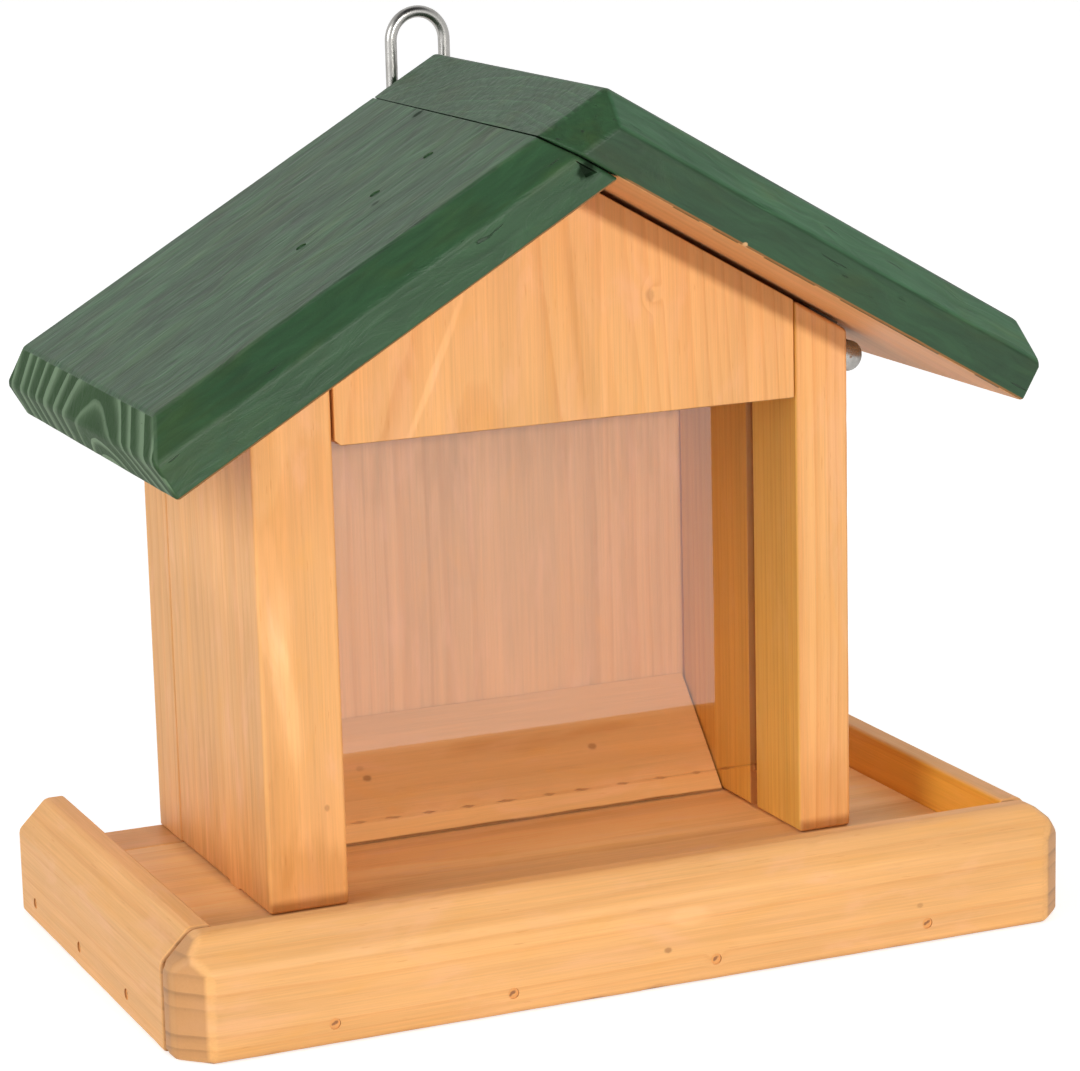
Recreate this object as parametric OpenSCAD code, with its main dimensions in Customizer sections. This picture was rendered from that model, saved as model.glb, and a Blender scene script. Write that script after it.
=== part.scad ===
// Wall-mounted bird feeder with a seed hopper, a rimmed tray and a hinged roof half.
// Millimetres. X runs to the right, Y to the wall, Z up from the underside of the tray.
// The middle of the tray's underside is the origin, and the back lies flat on the wall.

/* [Tray] */
// Width of the tray over its rails
tray_w = 240; // [215:1:320]
// Depth of the tray from the wall to the front of its rail
tray_d = 135; // [120:1:180]
// Height of the rails
rail_h = 30; // [26:1:45]
// Thickness of the front rail
front_rail_t = 14; // [10:0.5:20]
// Thickness of the side rails
side_rail_t = 13; // [10:0.5:18]
// Thickness of the floor board
floor_t = 18; // [14:0.5:20]
// Depth of the strip under the back board
back_rail_d = 18; // [16:0.5:24]
// Chamfer along the outer top edges of the rails
rail_chamfer = 7.5; // [2:0.5:9]
// Upright chamfer at the two front corners
corner_chamfer = 7.5; // [2:0.5:9]

/* [House] */
// Width of the house over its side walls
house_w = 162; // [140:1:176]
// Depth of the house from the wall plane to the front edges of its walls
house_d = 88; // [82:1:96]
// Height of the side walls above the floor at their outer faces
wall_h = 133.7; // [125:0.1:170]
// Thickness of the left wall
left_wall_t = 21; // [14:0.5:24]
// Thickness of the right wall
right_wall_t = 15; // [14:0.5:24]
// Thickness of the back board
back_t = 18; // [15:0.5:20]
// Thickness of the gable board
gable_t = 18; // [14:0.5:20]
// How far the gable board reaches below the outer tops of the walls
gable_reach = 17.7; // [12:0.1:44]
// Gap at each end of the gable board
gable_gap = 0.5; // [0.2:0.1:1]
// Cut at the two lower corners of the gable board
gable_ease = 1.5; // [0.5:0.1:3]

/* [Hopper] */
// Thickness of the clear pane
pane_t = 3; // [2:0.1:3.5]
// Width of the grooves that hold the pane
groove_w = 4; // [3.7:0.1:5]
// Depth of the grooves
groove_depth = 5; // [3:0.1:6]
// Distance from the front edges of the walls to the grooves
groove_setback = 25; // [23:0.5:30]
// Gap under the pane, where the seed runs out
seed_gap = 12; // [8:0.5:18]
// Gap at each side edge of the pane, inside its groove
pane_side_gap = 0.5; // [0.2:0.1:1]
// Gap between the top of the pane and the roof
pane_top_gap = 3; // [1:0.5:8]
// Radius of the pins that the pane stands on
pane_pin_r = 0.9; // [0.6:0.1:1.2]
// Length of those pins
pane_pin_l = 11; // [8:0.5:12]
// Height of the sloping board against the back board
slope_h = 27.5; // [20:0.5:36]
// Reach of the sloping board over the floor
slope_d = 25; // [18:0.5:30]
// Thickness of the sloping board
slope_t = 9; // [6:0.5:11]
// Gap round the sloping board
slope_gap = 0.3; // [0.1:0.1:0.5]

/* [Roof] */
// Pitch of both roof slabs
roof_pitch = 30.35; // [26:0.05:36]
// Thickness of the roof slabs
roof_t = 18; // [14:0.5:22]
// Depth of the roof slabs along the ridge
roof_d = 123; // [110:1:150]
// Distance from the wall plane to the back of the roof
roof_setback = 4.8; // [4.6:0.1:7]
// How far the left slab's top plane reaches past the left wall
left_eave = 40.5; // [30:0.5:60]
// How far the right slab's top plane reaches past the right wall
right_eave = 37.4; // [32:0.1:60]
// Chamfer along the front, back and eave edges of the slabs
roof_chamfer = 7.5; // [2:0.5:9]
// Gap between the lid and the end of the left slab that it rests over
ridge_gap = 0.3; // [0.1:0.1:1]
// Gap between the lid and the tops of the boards under it
lid_gap = 1.3; // [1.3:0.1:2]

/* [Hinges] */
// Length of each hinge
hinge_l = 24; // [22:1:30]
// Outer radius of the hinge knuckles
knuckle_r = 4; // [3.2:0.1:4.2]
// Radius of the hinge pins
pin_r = 2.3; // [1.2:0.1:2.5]
// Play between a pin and the knuckle that turns on it
hinge_play = 0.05; // [0.02:0.01:0.1]
// Gap between neighbouring knuckles
knuckle_gap = 0.3; // [0.1:0.1:0.6]
// Length of each of the two outer knuckles
end_knuckle_l = 7.5; // [5:0.5:8]
// Height of the round head on each end of a pin
pin_head_h = 1.4; // [0.8:0.1:2]
// Thickness of the hinge leaves
leaf_t = 1; // [0.8:0.1:1]
// Width of the wall leaf from the hinge axis to its edge
leaf_w = 16; // [14:0.5:18]
// Width of the roof leaf, which lies between the top of the wall and the lid
roof_leaf_w = 10; // [8:0.5:12]
// Radius of the outer corners of the leaves
leaf_corner_r = 2; // [1:0.5:3]
// Gap between the knuckles and the right wall
knuckle_wall_gap = 0.3; // [0.3:0.1:0.8]
// Distance from the hinge axis up to the underside of the lid
crank = 6.3; // [6.2:0.1:8]
// Distance from the front edge of the right wall to the front hinge
front_hinge_inset = 8; // [6:0.5:14]
// Distance from the back board to the rear hinge
rear_hinge_inset = 2; // [1:0.5:8]

/* [Hanger] */
// Place of the loop's middle, measured to the right of the ridge's middle
hanger_x = -1; // [-6:0.5:6]
// Radius of the wire
wire_r = 1.6; // [1.2:0.1:1.7]
// Radius of the loop at the middle of its wire
loop_r = 7.5; // [6:0.5:9]
// Height of the loop's inside above the ridge
loop_clear = 8.5; // [7:0.5:16]
// Distance from the wall plane to the middle of the wire
wire_inset = 2.6; // [2.6:0.1:2.8]
// Height of the ends of the legs under the tip of the back board
leg_drop = 28; // [24:1:34]
// Length of the leg ends that turn into the back board
toe_l = 8; // [5:0.5:12]
// Bend radius where a leg turns into the back board
toe_bend = 3; // [2.5:0.5:4]
// Width of the staples over the legs
staple_w = 8; // [6:0.5:10]
// Length of the staple legs
staple_l = 12; // [8:1:14]
// Height of the lower staples over the ends of the legs
staple_first = 8; // [6:0.5:9]
// Distance between the two staples of a leg
staple_pitch = 7; // [4:0.5:8]
// Thickness of the staple wire
staple_t = 0.8; // [0.6:0.1:0.8]
// Height of the flat staple wire
staple_h = 1.4; // [1:0.1:2]
// Gap on both sides of the wire in its groove
wire_groove_gap = 0.2; // [0.1:0.1:0.4]

/* [Nails and screws] */
// Radius of a nail
nail_r = 0.8; // [0.6:0.1:1.1]
// Radius of a nail's head
nail_head_r = 1.4; // [1.3:0.1:2]
// Thickness of a nail's head
nail_head_t = 0.8; // [0.5:0.1:1.2]
// How far the nails are punched below the surface
nail_set = 0.4; // [0.1:0.1:1]
// Length of the nails in the rails
rail_nail_l = 34; // [28:1:40]
// Length of all the other nails
long_nail_l = 40; // [34:1:44]
// Height of the nails in the rails
rail_nail_z = 5.5; // [4:0.5:8]
// Distance from the tray's corners to the first nails of the front rail
front_nail_inset = 40; // [25:1:60]
// Distance from the wall plane to the first nail of a side rail
side_nail_first = 13; // [8:0.5:15]
// Distance between the nails of a side rail
side_nail_pitch = 39.5; // [30:0.5:42]
// Radius of the screws that come up through the floor
floor_screw_r = 1.75; // [1.25:0.05:2]
// Length of those screws
floor_screw_l = 40; // [32:1:45]
// Distance from the front edges and the back ends of the walls to their screws
floor_screw_inset = 12.5; // [9:0.5:20]
// Radius of the hinge screws
hinge_screw_r = 1.4; // [1:0.1:1.5]
// Length of the hinge screws
hinge_screw_l = 10; // [7:0.5:10]
// Clearance round every nail, screw and wire in its hole
fit_gap = 0.02; // [0.01:0.01:0.05]

/* [Hidden] */
$fn = 48;

honey = [0.86, 0.60, 0.32];
green = [0.13, 0.33, 0.23];
steel = [0.72, 0.72, 0.70];
clear = [0.85, 0.88, 0.90, 0.4];

// Overshoot of every cutting body past the face it cuts
cut = 1;

// Main planes of the tray and the house
wall_y = tray_d / 2;
front_y = -tray_d / 2;
house_y = wall_y - house_d;
back_y = wall_y - back_t;
left_in = -house_w / 2 + left_wall_t;
right_in = house_w / 2 - right_wall_t;
right_out = house_w / 2;
left_mid = (left_in - house_w / 2) / 2;
right_mid = (right_in + right_out) / 2;

// Roof planes: the ridge lies over the middle of the house
under_t = roof_t / cos(roof_pitch);
ridge_z = floor_t + wall_h + house_w / 2 * tan(roof_pitch) + under_t;
roof_back_y = wall_y - roof_setback;
roof_front_y = roof_back_y - roof_d;
left_slope = (house_w / 2 + left_eave) / cos(roof_pitch);
right_slope = (house_w / 2 + right_eave) / cos(roof_pitch);

// Height, over x, of the plane that lies a given depth under the left or right top plane
function left_plane(x, depth) = ridge_z + x * tan(roof_pitch) - depth / cos(roof_pitch);
function right_plane(x, depth) = ridge_z - x * tan(roof_pitch) - depth / cos(roof_pitch);

// x at which a left plane meets a right plane of other depths
function meet_x(left_depth, right_depth) = (left_depth - right_depth) / (2 * sin(roof_pitch));

// Point of a slab at a distance down its slope and a depth under its top; side is -1 or 1
function slab_point(side, s, depth) =
    [side * (s * cos(roof_pitch) - depth * sin(roof_pitch)),
     ridge_z - s * sin(roof_pitch) - depth * cos(roof_pitch)];

lid_under = roof_t + lid_gap;
tip_x = meet_x(roof_t, lid_under);
tip_z = left_plane(tip_x, roof_t);

// Pane and its grooves
groove_front_y = house_y + groove_setback;
pane_y = groove_front_y + groove_w / 2;
pane_left = left_in - groove_depth + pane_side_gap;
pane_right = right_in + groove_depth - pane_side_gap;
pane_bottom = floor_t + seed_gap;
pane_top = min(left_plane(pane_left, roof_t), right_plane(pane_right, lid_under)) - pane_top_gap;
gable_bottom = floor_t + wall_h - gable_reach;

// Hinge axis, parallel to Y, beside the right wall and under the lid
axis_x = right_out + knuckle_wall_gap + knuckle_r;
axis_z = right_plane(axis_x, roof_t) - crank / cos(roof_pitch);
front_hinge_y = house_y + front_hinge_inset;
rear_hinge_y = back_y - rear_hinge_inset - hinge_l;
mid_knuckle_l = hinge_l - 2 * end_knuckle_l - 2 * knuckle_gap;
leaf_screw_inset = 0.21 * hinge_l;
leaf_screw_out = leaf_w - leaf_screw_inset;
roof_leaf_bend = -knuckle_r / cos(roof_pitch) - (crank - leaf_t) * tan(roof_pitch);
roof_leaf_start = -(knuckle_r - leaf_t) / cos(roof_pitch) - crank * tan(roof_pitch);
roof_screw_s = roof_leaf_start - roof_leaf_w / 2;
knuckle_notch = 1.125 * knuckle_r;
hinge_head_r = 2 * hinge_screw_r;

// Hanger: the loop stands over the ridge, its legs lie in grooves in the back board
wire_y = wall_y - wire_inset;
arch_z = ridge_z + loop_clear + wire_r - loop_r;
toe_z = tip_z - leg_drop;
staple_zs = [toe_z + staple_first, toe_z + staple_first + staple_pitch];
wire_groove_w = 2 * (wire_r + wire_groove_gap);
staple_y = wire_y + wire_r;

// Hand-driven front nails stray this far from even spacing
front_nail_stray = [-2, -9.5, -8.5, -2.5];
front_nail_step = (tray_w - 2 * front_nail_inset) / (len(front_nail_stray) - 1);
house_slope = house_w / 2 / cos(roof_pitch);
roof_nail_slopes = [0.376, 0.551, 0.791] * house_slope;
roof_nail_y = house_y + gable_t / 3;
roof_back_nail_slopes = [0.48, 0.8] * house_slope;
roof_back_nail_y = wall_y - back_t / 2;
gable_nail_y = house_y + gable_t / 3;
gable_nail_z = gable_bottom + 0.4 * gable_reach;
back_nail_zs = [for (share = [0.2, 0.5, 0.8]) floor_t + share * wall_h];
floor_screw_ys = [house_y + floor_screw_inset, back_y - floor_screw_inset];
floor_screw_head_r = 2 * floor_screw_r;

// Extrudes an outline drawn in X and Z from y_back towards the front
module along_y(y_back, depth) {
    translate([0, y_back, 0]) rotate([90, 0, 0]) linear_extrude(depth) children();
}

// Extrudes an outline drawn in Y and Z from x_left to the right
module along_x(x_left, width) {
    translate([x_left, 0, 0]) rotate([90, 0, 90]) linear_extrude(width) children();
}

// Frame of a roof slope: X runs down the slope, Z stands on its top face
module on_slope(side) {
    if (side > 0)
        translate([0, 0, ridge_z]) rotate([0, roof_pitch, 0]) children();
    else
        translate([0, 0, ridge_z]) mirror([1, 0, 0]) rotate([0, roof_pitch, 0]) children();
}

// Nail with its head at the surface and its point down; grow widens it into its own hole
module nail(length, grow = 0) {
    tip = 2 * nail_r;
    translate([0, 0, -nail_set - nail_head_t])
        cylinder(r = nail_head_r + grow, h = nail_head_t + (grow > 0 ? nail_set + cut : 0));
    translate([0, 0, -length + tip])
        cylinder(r = nail_r + grow, h = length - tip - nail_set - nail_head_t);
    translate([0, 0, -length])
        cylinder(r1 = 0.1 + grow, r2 = nail_r + grow, h = tip);
}

module nail_hole(length) {
    nail(length, fit_gap);
}

// Countersunk screw with its head at the surface and its point down
module screw(r, head_r, length, grow = 0) {
    head_h = head_r - r;
    tip = 2 * r;
    slot = head_r * 0.22;
    difference() {
        union() {
            translate([0, 0, -head_h]) cylinder(r1 = r + grow, r2 = head_r + grow, h = head_h);
            translate([0, 0, -length + tip]) cylinder(r = r + grow, h = length - tip - head_h);
            translate([0, 0, -length]) cylinder(r1 = 0.2 + grow, r2 = r + grow, h = tip);
            if (grow > 0)
                cylinder(r = head_r + grow, h = cut);
        }
        if (grow == 0)
            for (turn = [0, 90])
                rotate([0, 0, turn])
                    translate([-head_r * 0.6, -slot / 2, -head_h * 0.6]) cube([head_r * 1.2, slot, head_h]);
    }
}

// Places of the nails and screws: Z points out of the wood
module front_nail_places() {
    for (i = [0 : len(front_nail_stray) - 1])
        translate([-tray_w / 2 + front_nail_inset + i * front_nail_step + front_nail_stray[i],
                   front_y, rail_nail_z])
            rotate([90, 0, 0]) children();
}

module side_nail_places(side) {
    for (i = [0 : 2])
        translate([side * tray_w / 2, wall_y - side_nail_first - i * side_nail_pitch, rail_nail_z])
            rotate([0, side * 90, 0]) children();
}

module roof_nail_places() {
    for (s = roof_nail_slopes)
        on_slope(-1) translate([s, roof_nail_y, 0]) children();
}

module roof_back_nail_places() {
    sink = roof_chamfer - (roof_back_y - roof_back_nail_y);
    for (s = roof_back_nail_slopes)
        on_slope(-1) translate([s, roof_back_nail_y, -max(sink, 0)]) children();
}

module gable_nail_places() {
    for (side = [-1, 1])
        translate([side * house_w / 2, gable_nail_y, gable_nail_z]) rotate([0, side * 90, 0]) children();
}

module floor_screw_places() {
    for (x = [left_mid, right_mid], y = floor_screw_ys)
        translate([x, y, 0]) rotate([180, 0, 0]) children();
}

module back_screw_places() {
    for (x = [left_mid, right_mid])
        translate([x, wall_y - back_t / 2, 0]) rotate([180, 0, 0]) children();
}

module back_nail_places() {
    for (x = [left_mid, right_mid], z = back_nail_zs)
        translate([x, wall_y, z]) rotate([-90, 0, 0]) children();
}

module hinge_places() {
    for (y = [front_hinge_y, rear_hinge_y])
        translate([axis_x, y, axis_z]) children();
}

module leaf_screw_places() {
    for (y = [leaf_screw_inset, hinge_l - leaf_screw_inset])
        translate([0, y, 0]) children();
}

module wall_screw_places() {
    hinge_places() leaf_screw_places()
        translate([right_out + leaf_t - axis_x, 0, -leaf_screw_out]) rotate([0, 90, 0]) children();
}

module roof_screw_places() {
    hinge_places() leaf_screw_places()
        rotate([0, roof_pitch, 0]) translate([roof_screw_s, 0, crank - leaf_t]) rotate([180, 0, 0])
            children();
}

module floor_screw(grow = 0) {
    screw(floor_screw_r, floor_screw_head_r, floor_screw_l, grow);
}

module hinge_screw(grow = 0) {
    screw(hinge_screw_r, hinge_head_r, hinge_screw_l, grow);
}

// Chamfers of the tray: along the outer top edges and down the front corners
module tray_chamfers() {
    low = rail_h - rail_chamfer - cut;
    along_x(-tray_w / 2 - cut, tray_w + 2 * cut)
        polygon([[front_y - cut, low], [front_y + rail_chamfer + cut, rail_h + cut],
                 [front_y - cut, rail_h + cut]]);
    for (side = [-1, 1]) {
        out = tray_w / 2 + cut;
        along_y(wall_y + cut, tray_d + 2 * cut)
            polygon([[side * out, low], [side * (out - rail_chamfer - 2 * cut), rail_h + cut],
                     [side * out, rail_h + cut]]);
        translate([0, 0, -cut]) linear_extrude(rail_h + 2 * cut)
            polygon([[side * out, front_y + corner_chamfer + cut],
                     [side * (out - corner_chamfer - 2 * cut), front_y - cut],
                     [side * out, front_y - cut]]);
    }
}

module side_rail(side) {
    x = side > 0 ? tray_w / 2 - side_rail_t : -tray_w / 2;
    difference() {
        translate([x, front_y + front_rail_t, 0]) cube([side_rail_t, tray_d - front_rail_t, rail_h]);
        tray_chamfers();
        side_nail_places(side) nail_hole(rail_nail_l);
    }
}

module front_rail() {
    color(honey) difference() {
        translate([-tray_w / 2, front_y, 0]) cube([tray_w, front_rail_t, rail_h]);
        tray_chamfers();
        front_nail_places() nail_hole(rail_nail_l);
    }
}

module left_rail() {
    color(honey) side_rail(-1);
}

module right_rail() {
    color(honey) side_rail(1);
}

module back_rail() {
    inner_w = tray_w - 2 * side_rail_t;
    color(honey) difference() {
        translate([-inner_w / 2, wall_y - back_rail_d, 0]) cube([inner_w, back_rail_d, floor_t]);
        back_screw_places() floor_screw(fit_gap);
        for (side = [-1, 1])
            side_nail_places(side) nail_hole(rail_nail_l);
    }
}

module floor_board() {
    inner_w = tray_w - 2 * side_rail_t;
    color(honey) difference() {
        translate([-inner_w / 2, front_y + front_rail_t, 0])
            cube([inner_w, tray_d - front_rail_t - back_rail_d, floor_t]);
        floor_screw_places() floor_screw(fit_gap);
        front_nail_places() nail_hole(rail_nail_l);
        for (side = [-1, 1])
            side_nail_places(side) nail_hole(rail_nail_l);
    }
}

// Outline of a side wall, its top cut to the roof
module wall_outline(side) {
    inner = side > 0 ? right_in : left_in;
    outer = side * house_w / 2;
    polygon(side > 0
        ? [[inner, floor_t], [outer, floor_t], [outer, right_plane(outer, lid_under)],
           [inner, right_plane(inner, lid_under)]]
        : [[outer, floor_t], [inner, floor_t], [inner, left_plane(inner, roof_t)],
           [outer, left_plane(outer, roof_t)]]);
}

module side_wall(side) {
    groove_x = side > 0 ? right_in - cut : left_in - groove_depth;
    difference() {
        along_y(back_y, house_d - back_t) wall_outline(side);
        translate([groove_x, groove_front_y, floor_t - cut])
            cube([groove_depth + cut, groove_w, ridge_z]);
        floor_screw_places() floor_screw(fit_gap);
        back_nail_places() nail_hole(long_nail_l);
        gable_nail_places() nail_hole(long_nail_l);
        pane_pin_bodies(fit_gap);
        if (side > 0)
            wall_screw_places() hinge_screw(fit_gap);
    }
}

module left_wall() {
    color(honey) side_wall(-1);
}

module right_wall() {
    color(honey) side_wall(1);
}

module back_board() {
    half = house_w / 2;
    color(honey) difference() {
        along_y(wall_y, back_t)
            polygon([[-half, floor_t], [half, floor_t], [half, right_plane(half, lid_under)],
                     [tip_x, tip_z], [-half, left_plane(-half, roof_t)]]);
        back_screw_places() floor_screw(fit_gap);
        back_nail_places() nail_hole(long_nail_l);
        roof_back_nail_places() nail_hole(long_nail_l);
        hanger_housing();
    }
}

module gable_board() {
    left = left_in + gable_gap;
    right = right_in - gable_gap;
    color(honey) difference() {
        along_y(house_y + gable_t, gable_t)
            polygon([[left + gable_ease, gable_bottom], [right - gable_ease, gable_bottom],
                     [right, gable_bottom + gable_ease], [right, right_plane(right, lid_under)],
                     [tip_x, tip_z], [left, left_plane(left, roof_t)],
                     [left, gable_bottom + gable_ease]]);
        gable_nail_places() nail_hole(long_nail_l);
        roof_nail_places() nail_hole(long_nail_l);
    }
}

// Sloping board, its ends cut upright and level so that it sits in the corner
module slope_board() {
    angle = atan(slope_h / slope_d);
    back = back_y - slope_gap;
    low = floor_t + slope_gap;
    color(honey) along_x(left_in + slope_gap, right_in - left_in - 2 * slope_gap)
        polygon([[back, low + slope_h], [back - slope_d, low],
                 [back - slope_d + slope_t / sin(angle), low],
                 [back, low + slope_h - slope_t / cos(angle)]]);
}

module window_pane() {
    color(clear) translate([pane_left, pane_y - pane_t / 2, pane_bottom])
        cube([pane_right - pane_left, pane_t, pane_top - pane_bottom]);
}

// Pins across the grooves, just under the pane
module pane_pin_bodies(grow = 0) {
    z = pane_bottom - pane_pin_r - fit_gap;
    translate([left_in - pane_pin_l, pane_y, z]) rotate([0, 90, 0])
        cylinder(r = pane_pin_r + grow, h = pane_pin_l);
    translate([right_in, pane_y, z]) rotate([0, 90, 0])
        cylinder(r = pane_pin_r + grow, h = pane_pin_l);
}

module pane_pins() {
    color(steel) pane_pin_bodies();
}

// Chamfers along the front and back top edges of both slopes
module roof_chamfers() {
    reach = max(left_slope, right_slope) + roof_t;
    low = -roof_chamfer - cut;
    for (side = [-1, 1])
        on_slope(side) {
            along_x(-roof_t, reach + roof_t)
                polygon([[roof_front_y - cut, low], [roof_front_y + roof_chamfer + cut, cut],
                         [roof_front_y - cut, cut]]);
            along_x(-roof_t, reach + roof_t)
                polygon([[roof_back_y + cut, low], [roof_back_y - roof_chamfer - cut, cut],
                         [roof_back_y + cut, cut]]);
        }
}

// Fixed slab: its upper end is cut along the underside of the lid, which laps over it
module left_roof() {
    end_depth = roof_t + ridge_gap;
    seam_x = meet_x(0, end_depth);
    inner_x = meet_x(roof_t, end_depth);
    color(green) difference() {
        along_y(roof_back_y, roof_d)
            polygon([[seam_x, left_plane(seam_x, 0)],
                     slab_point(-1, left_slope - roof_chamfer, 0),
                     slab_point(-1, left_slope, roof_chamfer),
                     slab_point(-1, left_slope, roof_t),
                     [inner_x, left_plane(inner_x, roof_t)]]);
        roof_chamfers();
        roof_nail_places() nail_hole(long_nail_l);
        roof_back_nail_places() nail_hole(long_nail_l);
    }
}

// Lid: runs over the left slab's end to the ridge, and is bevelled there to the left slope
module right_roof() {
    seam_x = meet_x(0, roof_t);
    color(green) difference() {
        along_y(roof_back_y, roof_d)
            polygon([[0, ridge_z],
                     [seam_x, left_plane(seam_x, 0)],
                     slab_point(1, right_slope, roof_t),
                     slab_point(1, right_slope, roof_chamfer),
                     slab_point(1, right_slope - roof_chamfer, 0)]);
        roof_chamfers();
        roof_screw_places() hinge_screw(fit_gap);
    }
}

// Flat of a leaf, hinge_l long, with two round corners
module leaf_outline(width) {
    union() {
        square([width - leaf_corner_r, hinge_l]);
        translate([0, leaf_corner_r]) square([width, hinge_l - 2 * leaf_corner_r]);
        for (y = [leaf_corner_r, hinge_l - leaf_corner_r])
            translate([width - leaf_corner_r, y]) circle(r = leaf_corner_r);
    }
}

module knuckle(y, length, bore_gap) {
    translate([0, y + length, 0]) rotate([90, 0, 0]) difference() {
        cylinder(r = knuckle_r, h = length);
        translate([0, 0, -cut]) cylinder(r = pin_r + bore_gap, h = length + 2 * cut);
    }
}

module pin_bore(bore_gap) {
    translate([0, hinge_l + cut, 0]) rotate([90, 0, 0]) cylinder(r = pin_r + bore_gap, h = hinge_l + 2 * cut);
}

// Leaf on the outside of the wall, with the two outer knuckles; origin on the hinge axis
module wall_leaf() {
    plate_x = right_out - axis_x;
    mid_y = end_knuckle_l;
    difference() {
        union() {
            translate([plate_x, 0, 0]) rotate([0, 90, 0]) linear_extrude(leaf_t) leaf_outline(leaf_w);
            for (y = [0, hinge_l - end_knuckle_l])
                knuckle(y, end_knuckle_l, fit_gap);
        }
        pin_bore(fit_gap);
        translate([-2 * knuckle_r, mid_y, -knuckle_notch])
            cube([4 * knuckle_r, hinge_l - 2 * end_knuckle_l, 3 * knuckle_r]);
        leaf_screw_places()
            translate([plate_x + leaf_t, 0, -leaf_screw_out]) rotate([0, 90, 0]) hinge_screw(fit_gap);
    }
}

// Leaf that rises beside the wall and bends in under the lid; origin on the hinge axis
module roof_leaf() {
    mid_y = end_knuckle_l + knuckle_gap;
    inner_r = knuckle_r - leaf_t;
    rotate([0, roof_pitch, 0]) difference() {
        union() {
            translate([roof_leaf_start, 0, crank - leaf_t]) mirror([1, 0, 0])
                linear_extrude(leaf_t) leaf_outline(roof_leaf_w);
            knuckle(mid_y, mid_knuckle_l, hinge_play);
            along_y(mid_y + mid_knuckle_l, mid_knuckle_l)
                polygon([[-knuckle_r * cos(roof_pitch), -knuckle_r * sin(roof_pitch)],
                         [roof_leaf_bend, crank - leaf_t],
                         [roof_leaf_bend, crank],
                         [roof_leaf_start, crank],
                         [-inner_r * cos(roof_pitch), -inner_r * sin(roof_pitch)]]);
        }
        pin_bore(hinge_play);
        leaf_screw_places()
            translate([roof_screw_s, 0, crank - leaf_t]) rotate([180, 0, 0]) hinge_screw(fit_gap);
    }
}

// Pin with a low round head at each end
module hinge_pin() {
    dome_r = (pow(knuckle_r, 2) + pow(pin_head_h, 2)) / (2 * pin_head_h);
    translate([0, hinge_l, 0]) rotate([90, 0, 0]) {
        cylinder(r = pin_r, h = hinge_l);
        for (end = [0, 1])
            translate([0, 0, end * hinge_l]) rotate([end > 0 ? 0 : 180, 0, 0])
                intersection() {
                    translate([0, 0, pin_head_h - dome_r]) sphere(r = dome_r);
                    cylinder(r = knuckle_r, h = 2 * pin_head_h);
                }
    }
}

module at_hinge(y) {
    translate([axis_x, y, axis_z]) children();
}

module front_hinge_wall_leaf() {
    color(steel) at_hinge(front_hinge_y) wall_leaf();
}

module front_hinge_roof_leaf() {
    color(steel) at_hinge(front_hinge_y) roof_leaf();
}

module front_hinge_pin() {
    color(steel) at_hinge(front_hinge_y) hinge_pin();
}

module rear_hinge_wall_leaf() {
    color(steel) at_hinge(rear_hinge_y) wall_leaf();
}

module rear_hinge_roof_leaf() {
    color(steel) at_hinge(rear_hinge_y) roof_leaf();
}

module rear_hinge_pin() {
    color(steel) at_hinge(rear_hinge_y) hinge_pin();
}

module hinge_wall_screws() {
    color(steel) wall_screw_places() hinge_screw();
}

module hinge_roof_screws() {
    color(steel) roof_screw_places() hinge_screw();
}

// Leg of the hanger: its top end is the origin, and its toe turns away from the wall
module hanger_leg() {
    straight = arch_z - toe_z - toe_bend;
    translate([0, 0, -straight]) cylinder(r = wire_r, h = straight);
    translate([0, -toe_bend, -straight]) rotate([-90, 0, 90])
        rotate_extrude(angle = 90) translate([toe_bend, 0]) circle(r = wire_r);
    translate([0, -toe_bend, -straight - toe_bend]) rotate([90, 0, 0]) cylinder(r = wire_r, h = toe_l);
}

module hanger_loop() {
    color(steel) translate([hanger_x, wire_y, arch_z]) union() {
        for (side = [-1, 1])
            translate([side * loop_r, 0, 0]) hanger_leg();
        rotate([90, 0, 0])
            rotate_extrude(angle = 180) translate([loop_r, 0]) circle(r = wire_r);
    }
}

module staple_places() {
    for (side = [-1, 1], z = staple_zs)
        translate([hanger_x + side * loop_r, staple_y, z]) children();
}

// Flat staple: its crown lies over the wire, its legs run into the board
module staple(grow = 0) {
    w = staple_w + 2 * grow;
    h = staple_h + 2 * grow;
    t = staple_t + (grow > 0 ? cut : 0);
    translate([-w / 2, 0, -h / 2]) cube([w, t, h]);
    for (side = [-1, 1])
        translate([side * (staple_w - staple_t) / 2, 0, 0])
            translate([-staple_t / 2 - grow, -staple_l, -h / 2])
                cube([staple_t + 2 * grow, staple_l + staple_t, h]);
}

module hanger_staples() {
    color(steel) staple_places() staple();
}

// Grooves, toe holes and staple seats in the back board
module hanger_housing() {
    for (side = [-1, 1])
        translate([hanger_x + side * loop_r, 0, 0]) {
            translate([-wire_groove_w / 2, wire_y - wire_groove_w / 2, toe_z - wire_groove_w / 2])
                cube([wire_groove_w, wire_inset + wire_groove_w / 2 + cut, ridge_z]);
            translate([-wire_groove_w / 2, wire_y - toe_bend - wire_r, toe_z - wire_groove_w / 2])
                cube([wire_groove_w, toe_bend + wire_r, toe_bend + wire_r + wire_groove_w / 2]);
            translate([0, wire_y, toe_z]) rotate([90, 0, 0])
                cylinder(r = wire_r + fit_gap, h = toe_bend + toe_l + fit_gap);
        }
    staple_places() staple(fit_gap);
}

module front_rail_nails() {
    color(steel) front_nail_places() nail(rail_nail_l);
}

module side_rail_nails() {
    color(steel) for (side = [-1, 1])
        side_nail_places(side) nail(rail_nail_l);
}

module roof_nails() {
    color(steel) {
        roof_nail_places() nail(long_nail_l);
        roof_back_nail_places() nail(long_nail_l);
    }
}

module gable_nails() {
    color(steel) gable_nail_places() nail(long_nail_l);
}

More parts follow.
